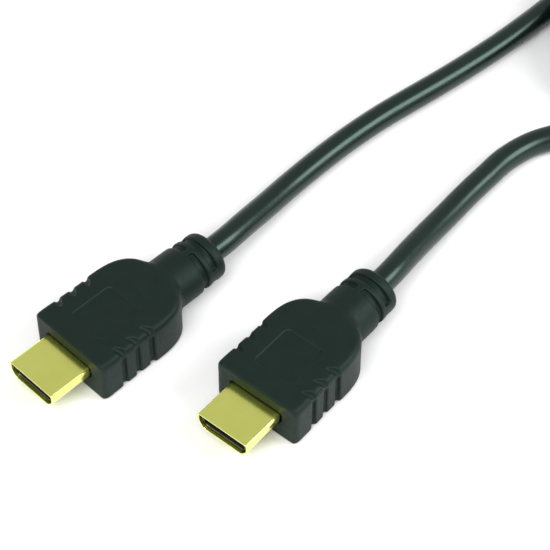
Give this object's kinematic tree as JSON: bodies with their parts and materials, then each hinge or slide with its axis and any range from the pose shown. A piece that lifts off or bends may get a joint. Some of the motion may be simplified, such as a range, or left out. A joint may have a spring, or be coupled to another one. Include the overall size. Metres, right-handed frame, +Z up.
{
  "type": "hdmi cable",
  "caption": "Round black audio and video lead with a gold-plated metal plug in a moulded grip at each end, its spare length wound into a tied coil.",
  "frame": {"origin": "on the floor, at the middle of the box round the two plugs", "axes": "+Y from the plugs' mating ends back along the cord, +Z up from the floor"},
  "size_m": [0.1037, 0.2437, 0.0135],
  "materials": {
    "moulded_plastic": "black moulded PVC, fine satin, faintly green-grey",
    "gold_plate": "bright gold plating on drawn steel",
    "insulator": "black moulded contact carrier",
    "contact_gold": "gold-plated contact strip",
    "cord_sheath": "black extruded PVC sheath, satin",
    "tie_strap": "black woven hook-and-loop tie"
  },
  "bodies": {
    "root": {"plug_a_moulding": "moulded_plastic", "plug_a_shell": "gold_plate", "plug_a_insulator": "insulator", "plug_a_contact_01": "contact_gold", "plug_a_contact_02": "contact_gold", "plug_a_contact_03": "contact_gold", "plug_a_contact_04": "contact_gold", "plug_a_contact_05": "contact_gold", "plug_a_contact_06": "contact_gold", "plug_a_contact_07": "contact_gold", "plug_a_contact_08": "contact_gold", "plug_a_contact_09": "contact_gold", "plug_a_contact_10": "contact_gold", "plug_a_contact_11": "contact_gold", "plug_a_contact_12": "contact_gold", "plug_a_contact_13": "contact_gold", "plug_a_contact_14": "contact_gold", "plug_a_contact_15": "contact_gold", "plug_a_contact_16": "contact_gold", "plug_a_contact_17": "contact_gold", "plug_a_contact_18": "contact_gold", "plug_a_contact_19": "contact_gold", "plug_b_moulding": "moulded_plastic", "plug_b_shell": "gold_plate", "plug_b_insulator": "insulator", "plug_b_contact_01": "contact_gold", "plug_b_contact_02": "contact_gold", "plug_b_contact_03": "contact_gold", "plug_b_contact_04": "contact_gold", "plug_b_contact_05": "contact_gold", "plug_b_contact_06": "contact_gold", "plug_b_contact_07": "contact_gold", "plug_b_contact_08": "contact_gold", "plug_b_contact_09": "contact_gold", "plug_b_contact_10": "contact_gold", "plug_b_contact_11": "contact_gold", "plug_b_contact_12": "contact_gold", "plug_b_contact_13": "contact_gold", "plug_b_contact_14": "contact_gold", "plug_b_contact_15": "contact_gold", "plug_b_contact_16": "contact_gold", "plug_b_contact_17": "contact_gold", "plug_b_contact_18": "contact_gold", "plug_b_contact_19": "contact_gold", "cord_leg_a": "cord_sheath", "cord_leg_b": "cord_sheath", "cord_coil": "cord_sheath", "coil_tie": "tie_strap"}
  },
  "joints": []
}
